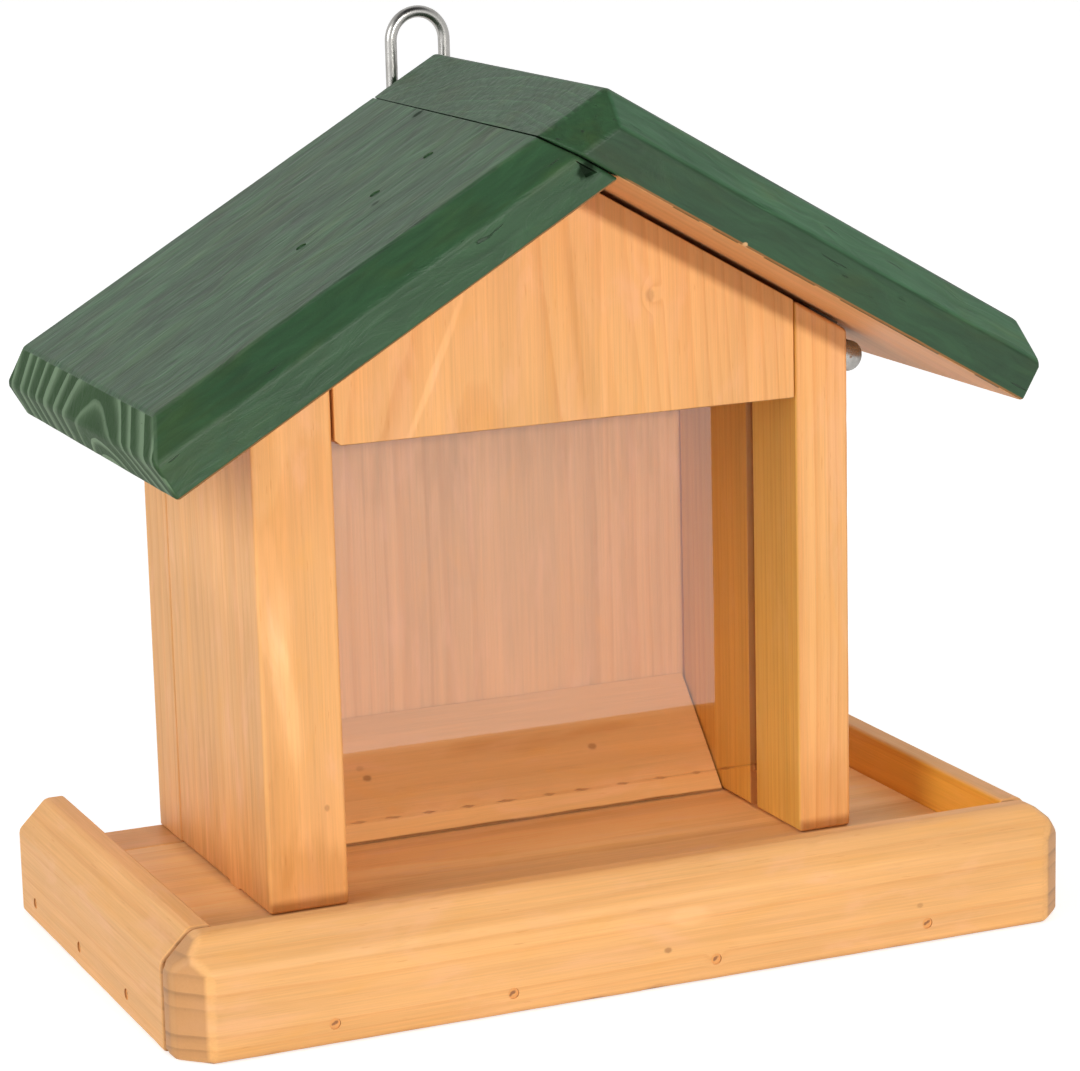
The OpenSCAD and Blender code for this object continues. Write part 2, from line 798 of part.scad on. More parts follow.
module floor_screws() {
    color(steel) {
        floor_screw_places() floor_screw();
        back_screw_places() floor_screw();
    }
}

module back_nails() {
    color(steel) back_nail_places() nail(long_nail_l);
}

front_rail();
left_rail();
right_rail();
back_rail();
floor_board();
left_wall();
right_wall();
back_board();
gable_board();
slope_board();
window_pane();
pane_pins();
left_roof();
right_roof();
front_hinge_wall_leaf();
front_hinge_roof_leaf();
front_hinge_pin();
rear_hinge_wall_leaf();
rear_hinge_roof_leaf();
rear_hinge_pin();
hinge_wall_screws();
hinge_roof_screws();
hanger_loop();
hanger_staples();
front_rail_nails();
side_rail_nails();
roof_nails();
gable_nails();
floor_screws();
back_nails();
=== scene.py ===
import math

import bmesh
import bpy
from mathutils import Matrix, Vector, noise


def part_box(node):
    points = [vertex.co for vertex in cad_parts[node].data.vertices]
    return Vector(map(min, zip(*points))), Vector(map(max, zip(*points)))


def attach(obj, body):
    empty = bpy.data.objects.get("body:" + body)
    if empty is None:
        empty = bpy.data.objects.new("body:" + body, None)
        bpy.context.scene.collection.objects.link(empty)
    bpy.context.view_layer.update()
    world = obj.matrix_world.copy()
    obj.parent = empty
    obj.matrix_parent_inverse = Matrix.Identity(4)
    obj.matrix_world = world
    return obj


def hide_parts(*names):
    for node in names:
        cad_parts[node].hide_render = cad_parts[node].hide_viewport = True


# Looks of the wall-mounted bird feeder, in metres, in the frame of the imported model: X to the
# right, Y to the wall, Z up. Every wooden piece is a copy of its board with rounded, slightly
# worn edges. Its grain is solid: rings round a pith line, so faces and end grain agree.

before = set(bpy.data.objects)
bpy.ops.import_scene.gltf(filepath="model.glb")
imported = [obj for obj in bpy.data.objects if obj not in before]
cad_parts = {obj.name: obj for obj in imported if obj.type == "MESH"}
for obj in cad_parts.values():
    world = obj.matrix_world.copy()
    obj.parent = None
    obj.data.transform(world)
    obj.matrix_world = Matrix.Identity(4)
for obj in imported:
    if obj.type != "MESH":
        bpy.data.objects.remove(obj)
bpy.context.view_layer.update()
MM = 0.001

X_AXIS = Vector((1, 0, 0))
Y_AXIS = Vector((0, 1, 0))
Z_AXIS = Vector((0, 0, 1))

# Colours as they look under plain white light
HONEY_EARLY = (0.93, 0.485, 0.172)
HONEY_LATE = (0.75, 0.290, 0.066)
HONEY_END = (0.55, 0.26, 0.095)
HONEY_ROSY = (0.94, 0.50, 0.25)
HONEY_AMBER = (0.88, 0.42, 0.10)
BARE_EARLY = (0.88, 0.50, 0.23)
BARE_LATE = (0.70, 0.34, 0.12)
KNOT_BROWN = (0.22, 0.075, 0.02)
GREEN_EARLY = (0.025, 0.074, 0.028)
GREEN_LATE = (0.012, 0.040, 0.014)
GREEN_MOSSY = (0.034, 0.068, 0.018)
# Worn green stain on the edges, lightened as a painted highlight
GREEN_WORN_HIGHLIT = (0.085, 0.150, 0.080)
GREEN_END = (0.042, 0.084, 0.036)
GREEN_END_RING = (0.185, 0.270, 0.165)
# Dark of cracks, knots and nail flecks, and of painted shade in the torn notch
CRACK_AND_SHADE_DARK = (0.012, 0.022, 0.012)
ZINC = (0.40, 0.39, 0.37)
ZINC_DULL = (0.24, 0.23, 0.21)
# Painted shade on the roof's hinge leaf, which sits in the gap under the slab
SHADED_ZINC = (0.10, 0.075, 0.05)
NAIL_BROWN = (0.27, 0.105, 0.04)
PANE_TINT = (0.985, 0.98, 0.985, 1)
EDGE_TINT = (0.95, 0.90, 0.86, 1)
SAWN_DARK = (0.26, 0.06, 0.012)

# How dark the wood grows through one year's ring, as (place in the ring, level)
RING_PROFILE = ((0.0, 0.05), (0.4, 0.14), (0.72, 0.5), (0.88, 1.0), (0.96, 0.75), (1.0, 0.05))

# Depths of the bumps on pine and on the roof's brushed stain
PINE_RELIEF = 0.07 * MM
STAIN_RELIEF = 0.14 * MM

# Small nails show as flecks: lean from the level, and half sizes of the ragged ellipsoid in mm
FLECK_LEAN = math.radians(28)
FLECK_LONG, FLECK_SHORT, FLECK_DEEP = 1.25, 0.55, 1.6
ROOF_FLECK = 1.6
SIDE_FLECK = 0.7

# The pane mirrors at one face for both, so its index is higher than that of one face
PANE_IOR = 2.16
PANE_ROUGHNESS = 0.03
DASH_PITCH = 10.8 * MM

# Mesh work: vertices nearer than MERGE are one, and wear wanders in steps along the arrises
MERGE = 1e-6
FLAT_ANGLE = math.radians(0.5)
ARRIS_ANGLE = math.radians(20)
SHARP_ANGLE = math.radians(40)
WEAR_STEP = 4 * MM
NOTCH_DEPTH = 1.3 * MM
CORNER_REACH = 1.6 * MM

# Light levels
AMBIENT = 0.47
FLOOR_BOUNCE = 0.62
FLOOR_SHOWN = 0.80
FLOOR_GLOW = 0.60
FLOOR_HALF = 6.0
MIRRORED_CEILING = 0.04
DARK_CEILING_WAY = (0.0, -0.5, 0.866)
KEY_POWER = 33.0
FILL_POWER = 19.5
LIT_POINT = Vector((0, 0, 0.11))


class Shader:
    """Nodes of a material or a world, with short calls for the kinds used here."""

    def __init__(self, owner, output="ShaderNodeOutputMaterial"):
        self.owner = owner
        self.owner.use_nodes = True
        self.tree = owner.node_tree
        self.tree.nodes.clear()
        self.output = self.node(output)

    def node(self, kind, **settings):
        made = self.tree.nodes.new(kind)
        for key, value in settings.items():
            setattr(made, key, value)
        return made

    def feed(self, socket, value):
        if isinstance(value, bpy.types.NodeSocket):
            self.tree.links.new(value, socket)
        elif isinstance(value, (tuple, list)) and len(value) == 3 and socket.type == "RGBA":
            socket.default_value = (*value, 1)
        else:
            socket.default_value = value

    def point(self):
        """Place on the object, in metres."""
        return self.node("ShaderNodeTexCoord").outputs["Object"]

    def normal(self):
        return self.node("ShaderNodeTexCoord").outputs["Normal"]

    def math(self, operation, a, b=0.0):
        made = self.node("ShaderNodeMath", operation=operation)
        self.feed(made.inputs[0], a)
        self.feed(made.inputs[1], b)
        return made.outputs[0]

    def plus(self, a, b):
        return self.math("ADD", a, b)

    def minus(self, a, b):
        return self.math("SUBTRACT", a, b)

    def times(self, a, b):
        return self.math("MULTIPLY", a, b)

    def vector(self, operation, a, b):
        made = self.node("ShaderNodeVectorMath", operation=operation)
        self.feed(made.inputs[0], a)
        self.feed(made.inputs[1], b)
        return made.outputs["Value" if operation in ("DOT_PRODUCT", "LENGTH", "DISTANCE") else "Vector"]

    def dot(self, place, way):
        return self.vector("DOT_PRODUCT", place, tuple(way))

    def length(self, place):
        return self.vector("LENGTH", place, (0, 0, 0))

    def combine(self, x, y, z):
        made = self.node("ShaderNodeCombineXYZ")
        for socket, value in zip(made.inputs, (x, y, z)):
            self.feed(socket, value)
        return made.outputs[0]

    def scaled(self, place, factor):
        return self.vector("MULTIPLY", place, (factor, factor, factor))

    def stretch(self, place, along, across):
        return self.vector("MULTIPLY", place, (along, across, across))

    def noise(self, place, detail=2.0, roughness=0.5, distortion=0.0):
        made = self.node("ShaderNodeTexNoise", noise_dimensions="3D")
        self.feed(made.inputs["Vector"], place)
        made.inputs["Scale"].default_value = 1.0
        made.inputs["Detail"].default_value = detail
        made.inputs["Roughness"].default_value = roughness
        made.inputs["Distortion"].default_value = distortion
        return made.outputs["Fac"]

    def wave(self, place, detail):
        """Noise that swings about 0."""
        return self.minus(self.noise(place, detail), 0.5)

    def noise_line(self, value, detail=1.0):
        made = self.node("ShaderNodeTexNoise", noise_dimensions="1D")
        self.feed(made.inputs["W"], value)
        made.inputs["Scale"].default_value = 1.0
        made.inputs["Detail"].default_value = detail
        return made.outputs["Fac"]

    def random(self, value):
        made = self.node("ShaderNodeTexWhiteNoise", noise_dimensions="1D")
        self.feed(made.inputs["W"], value)
        return made.outputs["Value"]

    def between(self, value, low, high, to_low=0.0, to_high=1.0, smooth=True):
        """to_low up to low and to_high from high on, with an even or a straight change between."""
        made = self.node("ShaderNodeMapRange", interpolation_type="SMOOTHSTEP" if smooth else "LINEAR")
        limits = {"From Min": low, "From Max": high, "To Min": to_low, "To Max": to_high}
        for key, number in limits.items():
            made.inputs[key].default_value = number
        self.feed(made.inputs["Value"], value)
        return made.outputs["Result"]

    def curve(self, value, stops):
        made = self.node("ShaderNodeValToRGB")
        points = made.color_ramp.elements
        while len(points) < len(stops):
            points.new(0.5)
        for point, (place, level) in zip(points, stops):
            point.position = place
            point.color = (level, level, level, 1)
        self.feed(made.inputs["Fac"], value)
        return made.outputs["Color"]

    def mix(self, share, a, b):
        made = self.node("ShaderNodeMix", data_type="RGBA")
        self.feed(made.inputs[0], share)
        self.feed(made.inputs[6], a)
        self.feed(made.inputs[7], b)
        return made.outputs[2]

    def shade(self, colour, level):
        """Colour times a level that is 1 where nothing changes."""
        made = self.node("ShaderNodeVectorMath", operation="SCALE")
        self.feed(made.inputs[0], colour)
        self.feed(made.inputs["Scale"], level)
        return made.outputs["Vector"]

    def varied(self, colour, value, low, high, to_low, to_high):
        """Colour shaded evenly from to_low to to_high as the value goes from low to high."""
        return self.shade(colour, self.between(value, low, high, to_low, to_high, smooth=False))

    def bump(self, height, depth, strength=1.0):
        made = self.node("ShaderNodeBump")
        made.inputs["Strength"].default_value = strength
        made.inputs["Distance"].default_value = depth
        self.feed(made.inputs["Height"], height)
        return made.outputs["Normal"]

    def principled(self, **sockets):
        made = self.node("ShaderNodeBsdfPrincipled")
        for key, value in sockets.items():
            self.feed(made.inputs[key.replace("_", " ")], value)
        return made.outputs[0]

    def transparent(self, tint):
        made = self.node("ShaderNodeBsdfTransparent")
        made.inputs["Color"].default_value = tint
        return made.outputs[0]

    def white(self, kind, strength):
        """White background or emission of the given strength."""
        made = self.node(kind)
        made.inputs["Color"].default_value = (1, 1, 1, 1)
        self.feed(made.inputs["Strength"], strength)
        return made.outputs[0]

    def blend(self, share, first, second):
        """The first shader where the share is 0 and the second where it is 1."""
        made = self.node("ShaderNodeMixShader")
        self.feed(made.inputs[0], share)
        self.feed(made.inputs[1], first)
        self.feed(made.inputs[2], second)
        return made.outputs[0]

    def finish(self, surface):
        self.tree.links.new(surface, self.output.inputs["Surface"])
        return self.owner


def new_material(name):
    return Shader(bpy.data.materials.new(name))


class Log:
    """How a board lies in its log: the grain runs along it, and the rings go round the pith line.

    The pith is the line's place across the grain, in mm from the origin, and the spacing is the
    width of a ring in mm. wander bends the rings, and taper widens them along the grain.
    """

    def __init__(self, origin, grain, side, pith, spacing, wander=1.5, taper=0.0, seed=0.0):
        self.origin = Vector(origin)
        self.grain = Vector(grain).normalized()
        self.side = Vector(side).normalized()
        self.up = self.grain.cross(self.side)
        self.pith = pith
        self.spacing = spacing
        self.wander = wander
        self.taper = taper
        self.seed = seed


class KnotOrShadeSpot:
    """A branch through the board, also used as a dark spot of painted shade in a torn notch: a point on
    its face, the way that it runs and its radius in mm.
    """

    def __init__(self, centre, way, radius, dark=1.0):
        self.centre = Vector(centre)
        self.way = Vector(way).normalized()
        self.radius = radius
        self.dark = dark


class Streak:
    """A stretch of wood made lighter (level above 1) or darker (below 1): where the stain lies thinner or
    thicker, and at some places as painted light and shade.

    It is seen along way, length in mm along the grain and width in mm across it, and may lean.
    Faces that look the way not_on stay as they are.
    """

    def __init__(self, centre, way, length, width, lean=0.0, level=0.9, not_on=None):
        self.centre = Vector(centre)
        self.way = Vector(way).normalized()
        self.length = length
        self.width = width
        self.lean = lean
        self.level = level
        self.not_on = not_on


def grain_place(s, log):
    """Place in the log in mm, X along the grain, Y and Z across it, and its three parts unshifted."""
    local = s.vector("SUBTRACT", s.point(), tuple(log.origin))
    parts = [s.dot(local, axis / MM) for axis in (log.grain, log.side, log.up)]
    shifted = s.plus(parts[0], 1000 * log.seed)
    return s.combine(shifted, parts[1], parts[2]), parts


def knot_masks(s, log, knots):
    """(how much the rings swell, how dark the wood is) round the given knots and spots of painted shade.
    """
    point = s.point()
    swell = dark = None
    for knot in knots:
        local = s.vector("SUBTRACT", point, tuple(knot.centre))
        side = knot.way.cross(log.grain).normalized()
        along = s.dot(local, side.cross(knot.way) / MM / 1.35)
        across = s.dot(local, side / MM)
        far = s.length(s.combine(along, across, 0.0))
        reach = s.plus(far, s.times(s.noise(s.scaled(local, 900)), 0.5 * knot.radius))
        one_swell = s.between(far, 0.3 * knot.radius, 3.2 * knot.radius, 1.6 * knot.radius, 0.0)
        one_dark = s.between(reach, 0.75 * knot.radius, 1.5 * knot.radius, knot.dark, 0.0)
        swell = one_swell if swell is None else s.plus(swell, one_swell)
        dark = one_dark if dark is None else s.math("MAXIMUM", dark, one_dark)
    return swell, dark


def stain_and_shade_streaks(s, log, place, streaks, colour):
    """The colour made lighter or darker in each streak, for thinner or thicker stain and for painted light
    and shade; darker is also deeper in hue.
    """
    point = s.point()
    ragged = s.times(s.wave(s.stretch(place, 0.06, 0.5), detail=3.0), 1.1)
    for streak in streaks:
        local = s.vector("SUBTRACT", point, tuple(streak.centre))
        side = streak.way.cross(log.grain).normalized() - streak.lean * log.grain
        along = s.dot(local, log.grain / MM / (0.5 * streak.length))
        across = s.dot(local, side / MM / (0.5 * streak.width))
        far = s.length(s.combine(along, across, 0.0))
        share = s.between(s.plus(far, ragged), 0.5, 1.2, 1.0, 0.0)
        if streak.not_on is not None:
            share = s.times(share, s.between(facing(s, streak.not_on), 0.0, 1.0, 1.0, 0.0))
        tint = (streak.level, streak.level ** 1.35, streak.level ** 2.2)
        colour = s.mix(share, colour, s.vector("MULTIPLY", colour, tint))
    return colour


def nail_flecks(s, spots, level_way, up_way=Z_AXIS, size=1.0):
    """Small dark flecks that lean upwards, over the sunken nail heads and the wood round them."""
    point = s.point()
    ragged = s.times(s.noise(s.scaled(point, 1100)), 1.4)
    along, rise = math.cos(FLECK_LEAN), math.sin(FLECK_LEAN)
    ways = ((along * level_way + rise * up_way) / (FLECK_LONG * size * MM),
            (along * up_way - rise * level_way) / (FLECK_SHORT * size * MM),
            level_way.cross(up_way) / (FLECK_DEEP * size * MM))
    flecks = None
    for spot in spots:
        local = s.vector("SUBTRACT", point, tuple(spot))
        far = s.length(s.combine(*(s.dot(local, way) for way in ways)))
        one = s.between(s.plus(far, ragged), 1.1, 1.7, 1.0, 0.0)
        flecks = one if flecks is None else s.math("MAXIMUM", flecks, one)
    return flecks


def ring_count(s, log, place, parts, swell):
    """Count of the rings from the pith line out to a place, bent by waves and by knots."""
    from_pith = [s.minus(part, middle) for part, middle in zip(parts[1:], log.pith)]
    radius = s.length(s.combine(0.0, *from_pith))
    slow = s.wave(s.stretch(place, 0.006, 0.03), detail=1.0)
    quick = s.wave(s.stretch(place, 0.03, 0.16), detail=2.0)
    radius = s.plus(radius, s.times(slow, 4 * log.wander))
    radius = s.plus(radius, s.times(quick, 0.55 * log.wander))
    radius = s.plus(radius, s.times(parts[0], log.taper))
    if swell is not None:
        radius = s.plus(radius, swell)
    count = s.times(radius, 1 / log.spacing)
    uneven = s.times(s.noise_line(s.times(count, 0.45)), 1.3)
    return s.plus(count, uneven)


def wood_figure(s, log, knots=()):
    """The parts of a wood pattern: rings, fibres, flecks and large patches, each from 0 to 1."""
    place, parts = grain_place(s, log)
    swell, dark = knot_masks(s, log, knots) if knots else (None, None)
    count = ring_count(s, log, place, parts, swell)
    ring = s.curve(s.math("FRACT", count), RING_PROFILE)
    weight = s.between(s.random(s.math("FLOOR", count)), 0.0, 1.0, 0.45, 1.0, smooth=False)
    return {"place": place,
            "knot": dark,
            "ring": s.times(ring, weight),
            "fibre": s.noise(s.stretch(place, 0.035, 2.3), detail=4.0, roughness=0.62),
            "fleck": s.between(s.noise(s.stretch(place, 0.16, 2.0), detail=1.0), 0.70, 0.78),
            "patch": s.noise(s.stretch(place, 0.012, 0.035), detail=3.0, roughness=0.55),
            "band": s.noise(s.stretch(place, 0.005, 0.14)),
            "cloud": s.noise(s.stretch(place, 0.035, 0.12), detail=4.0, roughness=0.6, distortion=0.5)}


def end_share(s, log):
    """1 on end grain and 0 on faces along the grain."""
    return s.between(s.math("ABSOLUTE", s.dot(s.normal(), log.grain)), 0.35, 0.8)


def edge_share(s):
    """1 along the rounded edges of a board."""
    return s.node("ShaderNodeAttribute", attribute_name="edge").outputs["Fac"]


def facing(s, way, low=0.6, high=0.9):
    """1 on faces that look the given way and 0 on the others."""
    return s.between(s.dot(s.normal(), way), low, high)


def darker(colour, factor):
    return tuple(factor * c for c in colour)


def honey_colour(s, figure, early, late, contrast, tone):
    """Rings, fibres and clouds of pine under a thin honey stain."""
    colour = s.mix(s.times(figure["ring"], contrast), early, late)
    colour = s.varied(colour, figure["fibre"], 0.25, 0.75, 0.90, 1.07)
    colour = s.varied(colour, figure["patch"], 0.25, 0.75, 0.92 * tone, 1.05 * tone)
    colour = s.varied(colour, figure["band"], 0.32, 0.68, 0.94, 1.06)
    colour = s.mix(s.between(figure["cloud"], 0.50, 0.75, 0.0, 0.5), colour, HONEY_ROSY)
    colour = s.mix(s.between(figure["cloud"], 0.25, 0.48, 0.45, 0.0), colour, HONEY_AMBER)
    return s.mix(s.times(figure["fleck"], 0.35), colour, late)


def honey_ends(s, log, figure, colour):
    """The colour, darker on end grain, which soaks up more stain."""
    end_colour = s.mix(figure["ring"], HONEY_END, darker(HONEY_END, 0.5))
    return s.mix(s.times(end_share(s, log), 0.85), colour, end_colour)


def pine_relief(s, figure):
    """Height of the grain: fibres and rings stand up, and flecks are small hollows."""
    relief = s.plus(s.times(figure["fibre"], 0.7), s.times(figure["ring"], 0.5))
    return s.minus(relief, s.times(figure["fleck"], 0.6))


def honey_wood(name, log, knots=(), nails=(), streaks=(), painted_face_light=None, early=HONEY_EARLY, late=HONEY_LATE,
               contrast=0.55, tone=1.0, stained_to=None, nail_size=1.0):
    """Pine with a thin honey stain; painted_face_light is (way, factor): faces that look that way get
    their colour times factor, as painted light and shade on that side.

    stained_to is the X up to which green stain has run in under the lap.
    """
    s = new_material(name)
    figure = wood_figure(s, log, knots)
    colour = honey_colour(s, figure, early, late, contrast, tone)
    if streaks:
        colour = stain_and_shade_streaks(s, log, figure["place"], streaks, colour)
    colour = honey_ends(s, log, figure, colour)
    # Painted light and shade: one side of the board is coloured as it looks when lit or shaded.
    if painted_face_light is not None:
        way, factor = painted_face_light
        colour = s.mix(facing(s, way), colour, s.vector("MULTIPLY", colour, factor))
    # Edges lighter: partly rubbed stain, partly a painted highlight on the rounded arrises.
    worn_and_highlit = tuple(min(1.0, 1.12 * c) for c in early)
    colour = s.mix(s.times(edge_share(s), 0.12), colour, worn_and_highlit)
    if figure["knot"] is not None:
        colour = s.mix(s.times(figure["knot"], 0.75), colour, KNOT_BROWN)
    if nails:
        flecks = nail_flecks(s, nails, log.grain, size=nail_size)
        colour = s.mix(s.times(flecks, 0.85), colour, NAIL_BROWN)
    if stained_to is not None:
        x = s.dot(s.point(), X_AXIS)
        colour = s.mix(s.between(x, stained_to - 1.5 * MM, stained_to, 1.0, 0.0), colour, GREEN_LATE)
    surface = s.principled(Base_Color=colour,
                           Roughness=s.between(figure["fibre"], 0.2, 0.8, 0.62, 0.46, smooth=False),
                           Normal=s.bump(pine_relief(s, figure), PINE_RELIEF))
    return s.finish(surface)


def brushed_place(s, figure):
    """Place in the log for the brush marks, which sway sideways."""
    sway = s.times(s.wave(s.stretch(figure["place"], 0.035, 0.05), detail=2.0), 6.0)
    return s.vector("ADD", figure["place"], s.combine(0.0, sway, sway))


def green_colour(s, figure, under, brushed, bristle, painted_face_tints):
    """Dark stain over the rings, uneven where the slab's upper face is rough sawn, with painted light and
    shade on some faces.
    """
    colour = s.mix(s.times(figure["ring"], 0.18), GREEN_EARLY, GREEN_LATE)
    colour = s.mix(s.between(figure["cloud"], 0.45, 0.72, 0.0, 0.6), colour, GREEN_MOSSY)
    rough_sawn = facing(s, -under, 0.75, 0.95)
    uneven = s.minus(s.between(brushed, 0.34, 0.66, 0.60, 1.42, smooth=False), 1.0)
    uneven = s.times(uneven, s.between(rough_sawn, 0.0, 1.0, 0.32, 1.0))
    colour = s.shade(colour, s.plus(uneven, 1.0))
    colour = s.varied(colour, bristle, 0.32, 0.68, 0.88, 1.13)
    # Painted light and shade: faces that look a given way are made lighter or darker.
    for way, factor in painted_face_tints:
        colour = s.mix(facing(s, way, 0.90, 0.96), colour, s.vector("MULTIPLY", colour, factor))
    return colour


def green_ends(s, log, figure, colour, lower_end):
    """The colour with its rings clear on the upper end, and pale on the lower one."""
    layered = s.varied(colour, figure["ring"], 0.0, 0.8, 0.82, 1.5)
    colour = s.mix(facing(s, -log.grain, 0.6, 0.8), colour, layered)
    end_colour = s.mix(s.between(figure["ring"], 0.08, 0.65), GREEN_END, GREEN_END_RING)
    colour = s.mix(lower_end, colour, end_colour)
    return s.varied(colour, figure["patch"], 0.3, 0.7, 0.85, 1.18)


def green_edges(s, figure, colour, under, bare_from):
    """The colour, lighter along the edges for rubbed stain and a painted highlight, and bare on the lower
    arris.
    """
    worn_and_highlit = s.times(edge_share(s), s.between(figure["cloud"], 0.5, 0.7, 0.0, 0.25))
    colour = s.mix(worn_and_highlit, colour, GREEN_WORN_HIGHLIT)
    x = s.dot(s.point(), X_AXIS)
    unstained = s.times(edge_share(s), facing(s, under, 0.3, 0.6))
    unstained = s.times(unstained, s.between(x, bare_from, bare_from + 3 * MM))
    return s.mix(unstained, colour, darker(BARE_LATE, 0.45))


def green_wood(name, log, under, knots=(), nails=(), chips=(), painted_face_tints=(), bare_from=-1.0):
    """The same pine under a dark green stain that fills the grain unevenly.

    The stain ends on the lower arris, towards the side called under and from the X bare_from on.
    Chips show bare wood, and painted_face_tints are pairs of the way that a face looks and its factor,
    which paints light and shade on that face.
    """
    s = new_material(name)
    figure = wood_figure(s, log, knots)
    place = brushed_place(s, figure)
    brushed = s.noise(s.stretch(place, 0.052, 0.21), detail=4.0, roughness=0.62, distortion=1.1)
    bristle = s.noise(s.stretch(place, 0.05, 0.7), detail=3.0, distortion=0.5)
    lower_end = facing(s, log.grain, 0.4, 0.65)
    colour = green_colour(s, figure, under, brushed, bristle, painted_face_tints)
    colour = green_ends(s, log, figure, colour, lower_end)
    cracks = s.between(s.noise(s.stretch(place, 0.05, 0.9)), 0.72, 0.76)
    colour = s.mix(s.times(cracks, 0.6), colour, CRACK_AND_SHADE_DARK)
    colour = green_edges(s, figure, colour, under, bare_from)
    matte = s.math("MAXIMUM", lower_end, s.times(edge_share(s), 0.35))
    # Knots darken the stain; the same mask paints shade in the left slab's torn notch.
    if figure["knot"] is not None:
        colour = s.mix(s.times(figure["knot"], 0.95), colour, CRACK_AND_SHADE_DARK)
        matte = s.math("MAXIMUM", matte, figure["knot"])
    if nails:
        flecks = nail_flecks(s, nails, log.grain, Y_AXIS, ROOF_FLECK)
        colour = s.mix(s.times(flecks, 0.9), colour, CRACK_AND_SHADE_DARK)
    for chip in chips:
        far = s.vector("DISTANCE", s.point(), tuple(chip))
        colour = s.mix(s.between(far, 0.5 * MM, 0.9 * MM, 0.8, 0.0), colour, BARE_EARLY)
    relief = s.plus(s.times(brushed, 2.2), s.times(bristle, 0.6))
    relief = s.minus(relief, s.times(cracks, 1.5))
    surface = s.principled(Base_Color=colour,
                           Roughness=s.between(bristle, 0.2, 0.8, 0.56, 0.42, smooth=False),
                           Normal=s.bump(relief, STAIN_RELIEF),
                           Specular_IOR_Level=s.between(matte, 0.0, 1.0, 0.36, 0.02))
    return s.finish(surface)


def zinc_metal(name, rough=0.24, clean=ZINC, dulled=ZINC_DULL):
    """Bright zinc-plated steel with faint drawing marks and a few dull spots."""
    s = new_material(name)
    point = s.point()
    dull = s.between(s.noise(s.scaled(point, 260), detail=3.0), 0.45, 0.75)
    fine = s.noise(s.vector("MULTIPLY", point, (2600, 2600, 900)))
    colour = s.mix(s.times(dull, 0.55), clean, dulled)
    spread = s.plus(s.between(dull, 0.0, 1.0, rough, rough + 0.16), s.times(fine, 0.06))
    surface = s.principled(Base_Color=colour, Metallic=1.0, Roughness=spread,
                           Normal=s.bump(fine, 0.01 * MM))
    return s.finish(surface)


def nail_metal(name, stain, bare, spots=(), level_way=X_AXIS, up_way=Z_AXIS, size=1.0):
    """Nail heads under the stain, which has run off them in one small fleck each."""
    s = new_material(name)
    ragged = s.noise(s.scaled(s.point(), 1500))
    colour = s.shade(stain, s.between(ragged, 0.3, 0.7, 0.95, 1.05))
    if spots:
        flecks = nail_flecks(s, spots, level_way, up_way, size)
        colour = s.mix(s.times(flecks, 0.85), colour, bare)
    surface = s.principled(Base_Color=colour, Roughness=s.between(ragged, 0.2, 0.8, 0.55, 0.7),
                           Normal=s.bump(ragged, 0.02 * MM))
    return s.finish(surface)


def clear_plastic(name):
    """Clear pane: it lets what lies behind it through, and mirrors the pale surroundings.

    The face where light enters mirrors for both faces, so no light is caught in the pane.
    """
    s = new_material(name)
    waves = s.noise(s.scaled(s.point(), 14), detail=1.0)
    mirror = s.node("ShaderNodeBsdfGlossy")
    mirror.inputs["Roughness"].default_value = PANE_ROUGHNESS
    s.feed(mirror.inputs["Normal"], s.bump(waves, 0.15 * MM, 0.4))
    fresnel = s.node("ShaderNodeFresnel")
    fresnel.inputs["IOR"].default_value = PANE_IOR
    entering = s.minus(1.0, s.node("ShaderNodeNewGeometry").outputs["Backfacing"])
    share = s.times(fresnel.outputs[0], entering)
    return s.finish(s.blend(share, s.transparent(PANE_TINT), mirror.outputs[0]))


def pane_edge(name):
    """Sawn edge of the pane: saw marks show as short dark dashes, which join towards the right."""
    s = new_material(name)
    point = s.point()
    parts = s.node("ShaderNodeSeparateXYZ")
    s.feed(parts.inputs[0], point)
    wobble = s.noise(s.scaled(point, 60), detail=1.0)
    depth = s.math("ABSOLUTE", s.minus(parts.outputs["Y"], box_middle("window_pane").y))
    place = s.plus(s.times(parts.outputs["X"], 1 / DASH_PITCH), s.times(wobble, 1.1))
    tapered = s.plus(s.math("PINGPONG", place, 0.5), s.times(depth, 0.17 / MM))
    dashes = s.times(s.between(tapered, 0.15, 0.30, 1.0, 0.0), s.between(wobble, 0.3, 0.7, 0.6, 1.0))
    to_right = s.between(parts.outputs["X"], 25 * MM, 45 * MM)
    joined = s.times(s.between(depth, 0.2 * MM, 0.4 * MM, 0.45, 0.0), to_right)
    share = s.times(s.math("MAXIMUM", dashes, joined), 0.6)
    dull = s.principled(Base_Color=SAWN_DARK, Roughness=0.7)
    return s.finish(s.blend(share, s.transparent(EDGE_TINT), dull))


def clean_copy(node):
    """Mesh of a CAD node with its triangles joined to whole flat faces."""
    bm = bmesh.new()
    bm.from_mesh(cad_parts[node].data)
    bmesh.ops.remove_doubles(bm, verts=bm.verts, dist=MERGE)
    bmesh.ops.dissolve_limit(bm, angle_limit=FLAT_ANGLE, verts=bm.verts, edges=bm.edges)
    return bm


def loose_parts(node):
    """Box of each separate solid in a CAD node, from the left to the right."""
    bm = bmesh.new()
    bm.from_mesh(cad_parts[node].data)
    bmesh.ops.remove_doubles(bm, verts=bm.verts, dist=MERGE)
    left = set(bm.verts)
    found = []
    while left:
        queue = [left.pop()]
        group = list(queue)
        while queue:
            for edge in queue.pop().link_edges:
                fresh = [vert for vert in edge.verts if vert in left]
                left.difference_update(fresh)
                queue.extend(fresh)
                group.extend(fresh)
        low = Vector([min(v.co[i] for v in group) for i in range(3)])
        high = Vector([max(v.co[i] for v in group) for i in range(3)])
        found.append((low, high))
    bm.free()
    return sorted(found, key=lambda pair: tuple(round(c, 5) for c in pair[0]))


